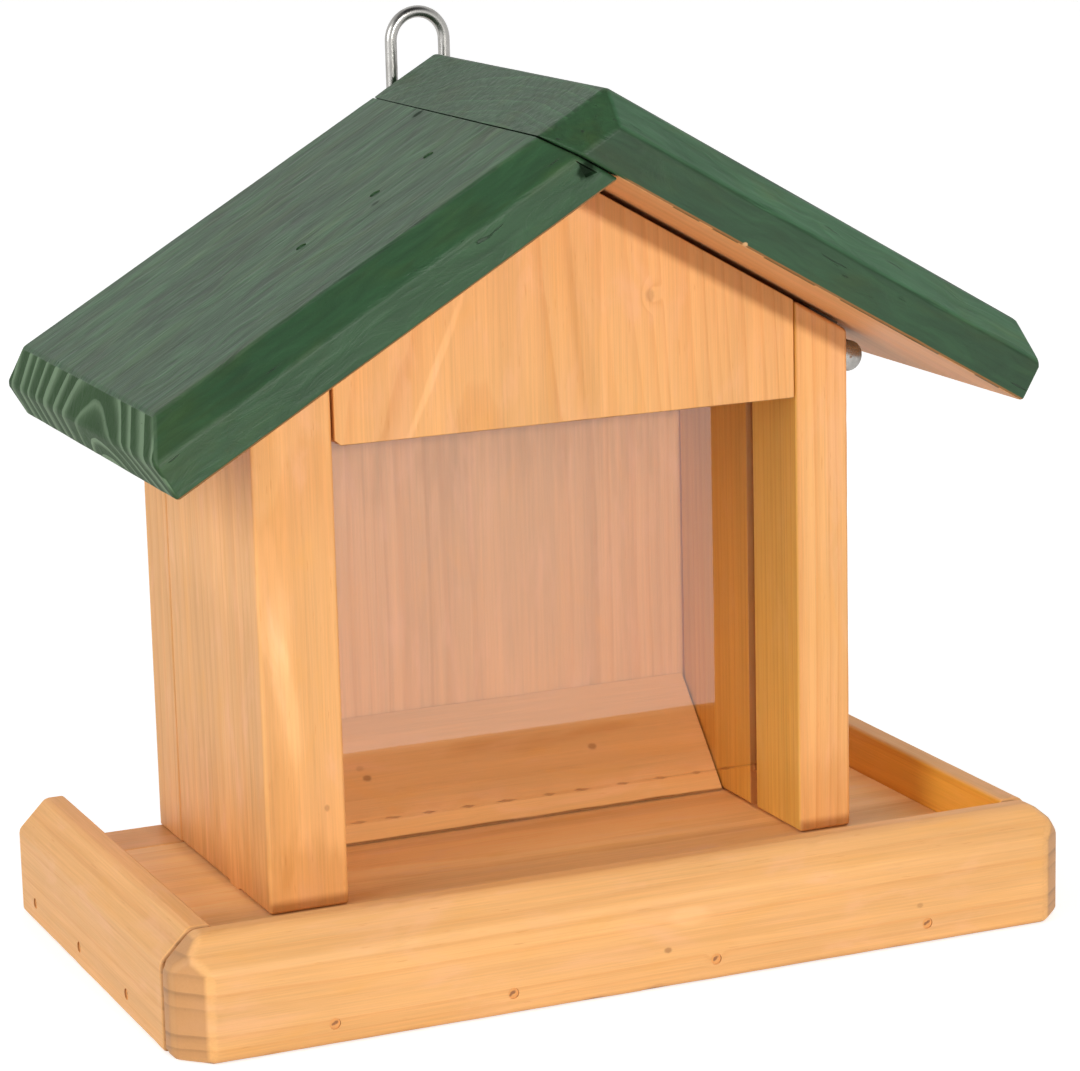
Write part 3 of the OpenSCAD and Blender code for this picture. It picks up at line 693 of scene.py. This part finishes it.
def widest_normal(node):
    """Normal of the widest flat area of a node, among those that point up."""
    areas = {}
    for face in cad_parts[node].data.polygons:
        if face.normal.z > 0.2:
            key = tuple(round(c, 3) for c in face.normal)
            areas[key] = areas.get(key, 0.0) + face.area
    return Vector(max(areas, key=areas.get)).normalized()


def box_middle(node):
    low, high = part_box(node)
    return (low + high) / 2


def at(x, z, y):
    """Point on a face that looks to the front: X and Z in mm, and the face's Y in metres."""
    return Vector((x * MM, y, z * MM))


def tear_notch(bm, corners):
    """Sinks a small triangle of the front face, where a corner of the wood has torn out."""
    middle = sum(corners, Vector()) / 3
    sides = list(zip(corners, corners[1:] + corners[:1]))
    for start, end in sides:
        across = (end - start).cross(Y_AXIS).normalized()
        whole = bm.verts[:] + bm.edges[:] + bm.faces[:]
        bmesh.ops.bisect_plane(bm, geom=whole, plane_co=start, plane_no=across)

    def inside(face):
        place = face.calc_center_median()
        if face.normal.y > -0.9 or abs(place.y - middle.y) > 0.2 * MM:
            return False
        turns = [(end - start).cross(place - start).y for start, end in sides]
        return min(turns) > 0 or max(turns) < 0

    torn = [face for face in bm.faces if inside(face)]
    made = bmesh.ops.extrude_face_region(bm, geom=torn)["geom"]
    for vert in [v for v in made if isinstance(v, bmesh.types.BMVert)]:
        vert.co = vert.co.lerp(middle, 0.25)
        vert.co.y += NOTCH_DEPTH
    bmesh.ops.delete(bm, geom=torn, context="FACES")
    bm.normal_update()


def square_corner(bm, corner):
    """Draws the vertices of a cut corner, seen from the front, out to the full corner."""
    for vert in bm.verts:
        if abs(vert.co.x - corner[0]) < CORNER_REACH and abs(vert.co.z - corner[1]) < CORNER_REACH:
            vert.co.x, vert.co.z = corner
    bmesh.ops.remove_doubles(bm, verts=bm.verts, dist=MERGE)


def is_arris(edge, shortest, crisp):
    """Whether an edge is an outer one to be rounded, longer than shortest and not a crisp one."""
    if not (edge.is_manifold and edge.is_convex and edge.calc_length() > shortest):
        return False
    start, end = (vert.co for vert in edge.verts)
    stays = crisp is not None and crisp((start + end) / 2, (end - start).normalized())
    return edge.calc_face_angle() > ARRIS_ANGLE and not stays


def round_arrises(bm, radius, crisp):
    """Bevels the arrises after cutting them into steps; returns what the bevel made."""
    for edge in [e for e in bm.edges if is_arris(e, 3.5 * MM, crisp)]:
        cuts = int(edge.calc_length() / WEAR_STEP)
        if cuts > 0:
            bmesh.ops.subdivide_edges(bm, edges=[edge], cuts=cuts)
    arrises = [e for e in bm.edges if is_arris(e, 1.7 * MM, crisp)]
    return bmesh.ops.bevel(bm, geom=arrises, offset=radius, offset_type="OFFSET", segments=3,
                           profile=0.5, affect="EDGES", clamp_overlap=False)


def wear_arrises(bm, made, edge_layer, round_edge, nick, seed):
    """Sinks the rounded edges unevenly, with small nicks, and marks them in the edge layer."""
    strip = set(made["faces"])
    bm.normal_update()
    shift = Vector((17.0 + seed, 5.0, 3.0 * seed))
    for vert in made["verts"]:
        if all(face in strip for face in vert.link_faces):
            vert[edge_layer] = 1.0
            wander = noise.noise(vert.co / (9 * MM) + shift)
            chip = max(0.0, noise.noise(vert.co / (3.2 * MM) - shift) - 0.28)
            inward = 0.12 * round_edge * (0.5 + 0.5 * wander) + nick * chip
            vert.co -= vert.normal * inward * MM


def shade_smooth(bm):
    """Smooth faces, parted at the sharp edges."""
    for face in bm.faces:
        face.smooth = True
    for edge in bm.edges:
        if edge.is_manifold and edge.calc_face_angle() > SHARP_ANGLE:
            edge.smooth = False


def stand_in(name, bm, node, body):
    """Object made of the mesh; it rides on the body and stands for the CAD node."""
    mesh = bpy.data.meshes.new(name)
    bm.to_mesh(mesh)
    bm.free()
    obj = bpy.data.objects.new(name, mesh)
    bpy.context.scene.collection.objects.link(obj)
    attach(obj, body)
    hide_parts(node)
    return obj


def worn_board(node, round_edge, nick, seed, body="house", crisp=None, notch=None,
               square=None):
    """Copy of a board with rounded edges that wander a little, with both sizes in mm.

    crisp(middle, way) names the edges that stay sharp, such as those of a groove, notch gives
    the corners of a torn place, and square gives the X and Z of a corner that isn't cut.
    """
    bm = clean_copy(node)
    edge_layer = bm.verts.layers.float.new("edge")
    if square:
        square_corner(bm, square)
    made = round_arrises(bm, round_edge * MM, crisp)
    wear_arrises(bm, made, edge_layer, round_edge, nick, seed)
    if notch:
        tear_notch(bm, notch)
    shade_smooth(bm)
    board = stand_in(node + "_wood", bm, node, body)
    soft = board.modifiers.new("even_normals", "WEIGHTED_NORMAL")
    soft.keep_sharp = True
    return board


def give(obj, *materials):
    obj.data.materials.clear()
    for material in materials:
        obj.data.materials.append(material)


def paint_faces(obj, index, test):
    """Gives the faces that pass the test the material of that index."""
    for face in obj.data.polygons:
        if test(face):
            face.material_index = index


def nail_spots(node, which):
    """Surface points of the nails of a group: which(low, high) gives each one's head."""
    return [which(low, high) for low, high in loose_parts(node)]


def front_head(low, high):
    return Vector(((low.x + high.x) / 2, low.y, (low.z + high.z) / 2))


def side_head(low, high):
    return Vector((low.x if low.x < 0 else high.x, (low.y + high.y) / 2, (low.z + high.z) / 2))


def roof_head(low, high):
    return Vector((low.x, (low.y + high.y) / 2, high.z))


# Tray
def build_front_rail():
    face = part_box("front_rail")[0].y
    log = Log(box_middle("front_rail"), X_AXIS, Y_AXIS, pith=(-6.0, -86.0), spacing=4.6, wander=1.1,
              seed=0.3)
    knots = [KnotOrShadeSpot(at(5.1, 9.8, face), Y_AXIS, 0.8, 0.7),
             KnotOrShadeSpot(at(18.1, 5.6, face), Y_AXIS, 1.0, 0.5),
             KnotOrShadeSpot(at(75.4, 10.5, face), Y_AXIS, 0.7, 0.45)]
    streaks = [Streak(at(11.2, 17.9, face), Y_AXIS, 11, 6, level=1.07),
               Streak(at(25, 11, face), Y_AXIS, 90, 2.2, level=0.94),
               Streak(at(-20, 21, face), Y_AXIS, 120, 2.6, level=0.95),
               Streak(at(-75, 3, face), Y_AXIS, 90, 6, level=0.93)]
    rail = worn_board("front_rail", round_edge=1.8, nick=1.6, seed=1.0)
    heads = nail_spots("front_rail_nails", front_head)
    # Painted light: the top faces are made lighter and bluer than the rest.
    give(rail, honey_wood("front_rail_pine", log, knots, heads, streaks, contrast=0.36, tone=0.97,
                          painted_face_light=(Z_AXIS, (1.03, 1.06, 1.14))))


def build_side_rail(side, pith, seed, painted_face_light=None):
    node = side + "_rail"
    log = Log(box_middle(node), Y_AXIS, X_AXIS, pith, spacing=3.9, wander=1.2, seed=seed)
    heads = [p for p in nail_spots("side_rail_nails", side_head) if (p.x < 0) == (side == "left")]
    rail = worn_board(node, round_edge=1.0, nick=0.5, seed=seed)
    give(rail, honey_wood(node + "_pine", log, (), heads, painted_face_light=painted_face_light, contrast=0.36, tone=0.98,
                          nail_size=SIDE_FLECK))


def build_floor_board():
    log = Log(box_middle("floor_board"), X_AXIS, Y_AXIS, pith=(12.0, -46.0), spacing=3.4, wander=1.6,
              seed=2.3)
    floor = worn_board("floor_board", round_edge=0.5, nick=0.4, seed=2.0)
    # Painted light: the top face is made paler and bluer.
    give(floor, honey_wood("floor_pine", log, painted_face_light=(Z_AXIS, (1.01, 1.17, 1.4)), contrast=0.4, tone=1.08))


def build_back_strip():
    log = Log(box_middle("back_rail"), X_AXIS, Y_AXIS, pith=(5.0, -60.0), spacing=3.0, wander=1.4,
              seed=3.1)
    strip = worn_board("back_rail", round_edge=0.5, nick=0.5, seed=3.0)
    give(strip, honey_wood("back_strip_pine", log, contrast=0.55, tone=0.92))


def build_tray():
    build_front_rail()
    build_side_rail("left", pith=(4.0, -70.0), seed=0.7)
    # Painted shade and bounced light: the right rail's inner face is coloured deep orange.
    build_side_rail("right", pith=(-3.0, -78.0), seed=1.9, painted_face_light=(-X_AXIS, (1.05, 1.0, 0.35)))
    build_floor_board()
    build_back_strip()


# House
def in_groove(middle, way):
    """Whether an edge belongs to the grooves that hold the pane."""
    low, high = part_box("window_pane")
    return low.y - 2 * MM < middle.y < high.y + 2 * MM


def build_left_wall(face):
    log = Log(box_middle("left_wall"), Z_AXIS, X_AXIS, pith=(12.0, 118.0), spacing=4.4, wander=1.6,
              taper=0.035, seed=4.2)
    knots = [KnotOrShadeSpot(at(-65.1, 43.6, face), Y_AXIS, 0.7, 0.5)]
    streaks = [Streak(at(-77.5, 122, face), Y_AXIS, 60, 9, level=0.92),
               Streak(at(-77.6, 98, face), Y_AXIS, 40, 9, lean=-0.10, level=1.12),
               Streak(at(-75.0, 75, face), Y_AXIS, 40, 6.5, lean=-0.16, level=1.12),
               Streak(at(-77.0, 44, face), Y_AXIS, 40, 9, level=0.90),
               Streak(at(-71.0, 24, face), Y_AXIS, 26, 26, level=0.84),
               Streak(at(-66.0, 95, face), Y_AXIS, 90, 5, level=1.04)]
    wall = worn_board("left_wall", round_edge=1.1, nick=0.2, seed=4.0, crisp=in_groove)
    give(wall, honey_wood("left_wall_pine", log, knots, (), streaks, contrast=0.45, tone=0.97))


def build_right_wall(face):
    pane_low, pane_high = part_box("window_pane")
    groove_y = (pane_low.y + pane_high.y) / 2
    behind_y = pane_high.y + 12 * MM
    log = Log(box_middle("right_wall"), Z_AXIS, X_AXIS, pith=(70.0, 92.0), spacing=1.9, wander=0.7,
              seed=5.4)
    streaks = [Streak(at(74, 24, face), Y_AXIS, 30, 24, level=0.93),
               # Painted shade: the inner face is darkened along the groove that holds the pane.
               Streak(at(66, 90, groove_y), X_AXIS, 400, 3.4, level=0.82, not_on=X_AXIS),
               # Painted light: a patch of the inner face behind the pane is made lighter.
               Streak(at(66, 55, behind_y), X_AXIS, 110, 26, level=1.04, not_on=X_AXIS)]
    wall = worn_board("right_wall", round_edge=1.1, nick=0.2, seed=5.0, crisp=in_groove)
    # Painted shade and bounced light: the inner face is coloured deeper and more saturated.
    give(wall, honey_wood("right_wall_pine", log, (), (), streaks, painted_face_light=(-X_AXIS, (1.02, 1.18, 0.73)),
                          contrast=0.5, tone=1.0))


def build_back_board():
    log = Log(box_middle("back_board"), Z_AXIS, X_AXIS, pith=(18.0, 55.0), spacing=2.3, wander=1.0,
              seed=6.1)
    # Painted shade: a wide band at the top of the back board, under the gable, is darker.
    streaks = [Streak(at(0, 152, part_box("back_board")[0].y), Y_AXIS, 92, 400, level=0.84)]
    board = worn_board("back_board", round_edge=0.5, nick=0.3, seed=6.0)
    give(board, honey_wood("back_board_pine", log, (), (), streaks, contrast=0.5, tone=0.92))


def build_gable(face):
    low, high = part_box("gable_board")
    log = Log(box_middle("gable_board"), Z_AXIS, X_AXIS, pith=(-26.0, 62.0), spacing=2.9, wander=1.5,
              taper=0.05, seed=7.7)
    knots = [KnotOrShadeSpot(at(25.4, 163.8, low.y), Y_AXIS, 1.3, 0.35)]
    streaks = [Streak(at(-33, 150, face), Y_AXIS, 40, 2.4, lean=0.44, level=1.12),
               Streak(at(-44, 143, face), Y_AXIS, 30, 5, lean=0.2, level=0.95),
               Streak(at(-6, 158, face), Y_AXIS, 40, 10, level=1.02),
               Streak(at(6.5, 154, face), Y_AXIS, 60, 5, lean=-0.128, level=0.92),
               Streak(at(12.5, 157, face), Y_AXIS, 56, 1.8, level=1.10)]
    gable = worn_board("gable_board", round_edge=0.35, nick=0.4, seed=7.0, square=(high.x, low.z))
    give(gable, honey_wood("gable_pine", log, knots, (), streaks, contrast=0.5, tone=0.965))


def build_slope_board():
    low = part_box("slope_board")[0]
    normal = widest_normal("slope_board")
    log = Log(box_middle("slope_board"), X_AXIS, normal.cross(X_AXIS), pith=(3.0, -60.0), spacing=3.1,
              wander=1.4, seed=8.8)
    knots = [KnotOrShadeSpot(at(-33.0, 32.0, 36.7 * MM), normal, 0.95, 0.8),
             KnotOrShadeSpot(at(-34.2, 35.4, 37.5 * MM), normal, 0.9, 0.3),
             KnotOrShadeSpot(at(32.3, 32.0, 36.6 * MM), normal, 1.0, 0.7)]
    # Painted shadow: a dark line along the foot of the slope board, where it meets the floor.
    foot_shadow = Streak((0, low.y, low.z), normal, 900, 1.7, level=0.3)
    slope = worn_board("slope_board", round_edge=0.5, nick=0.3, seed=8.0)
    give(slope, honey_wood("slope_pine", log, knots, (), [foot_shadow], contrast=0.5, tone=0.94))


def build_house():
    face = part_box("left_wall")[0].y
    build_left_wall(face)
    build_right_wall(face)
    build_back_board()
    build_gable(face)
    build_slope_board()


# Roof
def slab_ways(side):
    """Upward normal of a slab, the way down its slope, and the middle of the ridge over it."""
    node = side + "_roof"
    normal = widest_normal(node)
    down = Vector((normal.z, 0, -normal.x)) if side == "right" else Vector((-normal.z, 0, normal.x))
    return normal, down, Vector((0, box_middle(node).y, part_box("right_roof")[1].z))


def seam_test():
    """Test for the edges of the seam at the ridge, where both slabs stay crisp."""
    seam = min((v.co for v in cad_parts["right_roof"].data.vertices), key=lambda place: place.x)

    def at_seam(middle, way):
        return abs(way.y) > 0.99 and math.hypot(middle.x - seam.x, middle.z - seam.z) < 2.5 * MM

    return at_seam


def bare_underside(slab, normal):
    """Gives the underside of a slab its second material, the bare wood."""
    lowest = min(vert.co.dot(normal) for vert in slab.data.vertices)
    paint_faces(slab, 1, lambda face: face.normal.dot(normal) < -0.93
                and face.center.dot(normal) < lowest + 0.5 * MM)


def build_left_slab():
    normal, down, ridge = slab_ways("left")
    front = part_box("left_roof")[0].y
    log = Log(ridge, down, Y_AXIS, pith=(-12.0, 31.0), spacing=6.4, wander=2.0, seed=9.2)
    knots = [KnotOrShadeSpot(ridge - normal * MM + down * 22.7 * MM + Y_AXIS * 18 * MM, normal, 1.5, 0.9),
             KnotOrShadeSpot(ridge + down * 54.6 * MM - Y_AXIS * 22.2 * MM, normal, 1.1, 0.7),
             # Painted shade: a dark spot in the torn notch at the ridge, made like a knot.
             KnotOrShadeSpot(at(-9.0, 201.7, front), Y_AXIS, 2.1, 1.0)]
    notch = [at(-11.6, 204.2, front), at(-6.2, 201.0, front), at(-9.2, 199.9, front)]
    # Painted shade: the front chamfer is made a little darker.
    painted_face_tints = [((normal - Y_AXIS).normalized(), (0.95, 1.0, 1.02))]
    slab = worn_board("left_roof", round_edge=1.0, nick=0.5, seed=9.0,
                      crisp=seam_test(), notch=notch)
    give(slab, green_wood("left_roof_stain", log, -normal, knots, nail_spots("roof_nails", roof_head),
                          painted_face_tints=painted_face_tints),
         honey_wood("left_roof_bare", log, early=BARE_EARLY, late=BARE_LATE, contrast=0.4))
    bare_underside(slab, normal)


def build_right_slab():
    normal, down, ridge = slab_ways("right")
    log = Log(ridge, down, Y_AXIS, pith=(-30.0, -150.0), spacing=2.4, wander=1.3, seed=10.6)
    chips = [at(32.2, 180.7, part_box("right_roof")[0].y)]
    # Painted light and shade: the front chamfer is made much lighter and bluer, the front face darker.
    painted_face_tints = [((normal - Y_AXIS).normalized(), (1.7, 1.6, 1.95)), (-Y_AXIS, (0.70, 0.74, 0.76))]
    slab = worn_board("right_roof", round_edge=1.0, nick=0.5, seed=10.0, body="lid",
                      crisp=seam_test())
    give(slab, green_wood("right_roof_stain", log, -normal, chips=chips, painted_face_tints=painted_face_tints, bare_from=0.0),
         honey_wood("right_roof_bare", log, early=BARE_EARLY, late=BARE_LATE, contrast=0.4,
                    stained_to=0.0))
    bare_underside(slab, normal)


def build_pane():
    """Clear pane with its flat faces whole; its narrow faces are sawn and dull."""
    pane = stand_in("pane", clean_copy("window_pane"), "window_pane", "house")
    give(pane, clear_plastic("clear_sheet"), pane_edge("sawn_edge"))
    paint_faces(pane, 1, lambda face: abs(face.normal.y) < 0.5)


def build_metal():
    """Materials of the hinges, loop, screws, pins and nails, which keep their CAD meshes."""
    bright = zinc_metal("zinc_bright")
    dull = zinc_metal("zinc_leaf", rough=0.34)
    # Painted shade: the roof's hinge leaf, in the dark gap under the slab, is made dark brown.
    darkened = zinc_metal("zinc_shaded", 0.5, SHADED_ZINC, darker(SHADED_ZINC, 0.6))
    honey = tuple((a + b) / 2 for a, b in zip(HONEY_EARLY, HONEY_LATE))
    brown = nail_metal("nail_in_rail", honey, NAIL_BROWN, nail_spots("front_rail_nails", front_head))
    faint = nail_metal("nail_in_side_rail", honey, NAIL_BROWN, nail_spots("side_rail_nails", side_head),
                       Y_AXIS, size=SIDE_FLECK)
    green = nail_metal("nail_in_roof", GREEN_EARLY, CRACK_AND_SHADE_DARK, nail_spots("roof_nails", roof_head),
                       slab_ways("left")[1], Y_AXIS, ROOF_FLECK)
    pins = nail_metal("pin_under_pane", darker(honey, 0.6), NAIL_BROWN)
    endings = (("roof_leaf", darkened), ("_leaf", dull), ("roof_nails", green), ("side_rail_nails", faint),
               ("pane_pins", pins), ("_nails", brown), (("_pin", "_screws", "_loop", "_staples"), bright))
    for node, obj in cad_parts.items():
        for ending, metal in endings:
            if node.endswith(ending):
                give(obj, metal)
                break


def camera():
    """The photograph's camera: its place and angles were fitted to edges of the object."""
    place = Vector((-0.36612, -0.85895, 0.30997))
    yaw, pitch, roll = math.radians(23.24), math.radians(12.60), math.radians(-1.44)
    focal_px, width_px, sensor = 3750.34, 1080, 36.0
    ahead = Vector((math.sin(yaw) * math.cos(pitch), math.cos(yaw) * math.cos(pitch), -math.sin(pitch)))
    level = Vector((math.cos(yaw), -math.sin(yaw), 0))
    above = level.cross(ahead)
    right = level * math.cos(roll) + above * math.sin(roll)
    top = above * math.cos(roll) - level * math.sin(roll)
    data = bpy.data.cameras.new("camera")
    data.sensor_width = sensor
    data.lens = focal_px * sensor / width_px
    data.clip_start = 0.05
    data.clip_end = 50
    made = bpy.data.objects.new("camera", data)
    bpy.context.scene.collection.objects.link(made)
    turn = Matrix((right, top, -ahead)).transposed()
    made.matrix_world = Matrix.Translation(place) @ turn.to_4x4()
    bpy.context.scene.camera = made


def area_light(name, azimuth, elevation, distance, size, power, colour):
    """Softbox that looks at the middle of the object; azimuth 0 stands in front, 90 to the right."""
    a, e = math.radians(azimuth), math.radians(elevation)
    way = Vector((math.sin(a) * math.cos(e), -math.cos(a) * math.cos(e), math.sin(e)))
    data = bpy.data.lights.new(name, "AREA")
    data.shape = "DISK"
    data.size = size
    data.energy = power
    data.color = colour
    made = bpy.data.objects.new(name, data)
    bpy.context.scene.collection.objects.link(made)
    made.location = LIT_POINT + way * distance
    made.rotation_mode = "QUATERNION"
    made.rotation_quaternion = (-way).to_track_quat("-Z", "Y")


def white_world():
    """Surroundings that show white but light the object less, with a dark ceiling in mirrors."""
    s = Shader(bpy.data.worlds.new("studio"), "ShaderNodeOutputWorld")
    rays = s.node("ShaderNodeLightPath").outputs
    height = s.dot(s.node("ShaderNodeTexCoord").outputs["Generated"], DARK_CEILING_WAY)
    mirrored = s.white("ShaderNodeBackground", s.between(height, 0.6, 0.9, 1.0, MIRRORED_CEILING))
    shown = s.white("ShaderNodeBackground", 1.0)
    surface = s.white("ShaderNodeBackground", AMBIENT)
    surface = s.blend(rays["Is Glossy Ray"], surface, mirrored)
    surface = s.blend(rays["Is Camera Ray"], surface, shown)
    surface = s.blend(rays["Is Transmission Ray"], surface, shown)
    bpy.context.scene.world = s.finish(surface)


def floor_material():
    """White where it is seen directly, in a mirror or through glass, and greyer for lighting."""
    s = new_material("pale_floor")
    rays = s.node("ShaderNodeLightPath").outputs
    seen = s.math("MAXIMUM", rays["Is Camera Ray"], rays["Is Glossy Ray"])
    seen = s.math("MAXIMUM", seen, rays["Is Transmission Ray"])
    table = s.principled(Base_Color=(FLOOR_BOUNCE, FLOOR_BOUNCE, FLOOR_BOUNCE), Roughness=0.9)
    plain = s.principled(Base_Color=(FLOOR_SHOWN, FLOOR_SHOWN, FLOOR_SHOWN), Roughness=0.9)
    total = s.node("ShaderNodeAddShader")
    s.feed(total.inputs[0], plain)
    s.feed(total.inputs[1], s.white("ShaderNodeEmission", FLOOR_GLOW))
    return s.finish(s.blend(seen, table, total.outputs[0]))


def pale_floor():
    """Wide floor just under the object, which keeps its shadow."""
    corners = [(x * FLOOR_HALF, y * FLOOR_HALF, 0) for x, y in ((-1, -1), (1, -1), (1, 1), (-1, 1))]
    mesh = bpy.data.meshes.new("floor")
    mesh.from_pydata(corners, [], [(0, 1, 2, 3)])
    floor = bpy.data.objects.new("floor", mesh)
    floor.location.z = -0.2 * MM
    bpy.context.scene.collection.objects.link(floor)
    give(floor, floor_material())


def studio():
    """White surroundings, the floor, a key light in front and a fill from the left."""
    white_world()
    pale_floor()
    area_light("key", azimuth=1, elevation=12.5, distance=2.6, size=0.16, power=KEY_POWER,
               colour=(1.0, 0.99, 0.97))
    area_light("fill_left", azimuth=-80, elevation=18, distance=2.2, size=1.4, power=FILL_POWER,
               colour=(0.98, 0.99, 1.0))
    bpy.context.scene.view_settings.view_transform = "Standard"


build_tray()
build_house()
build_left_slab()
build_right_slab()
build_pane()
build_metal()
camera()
studio()
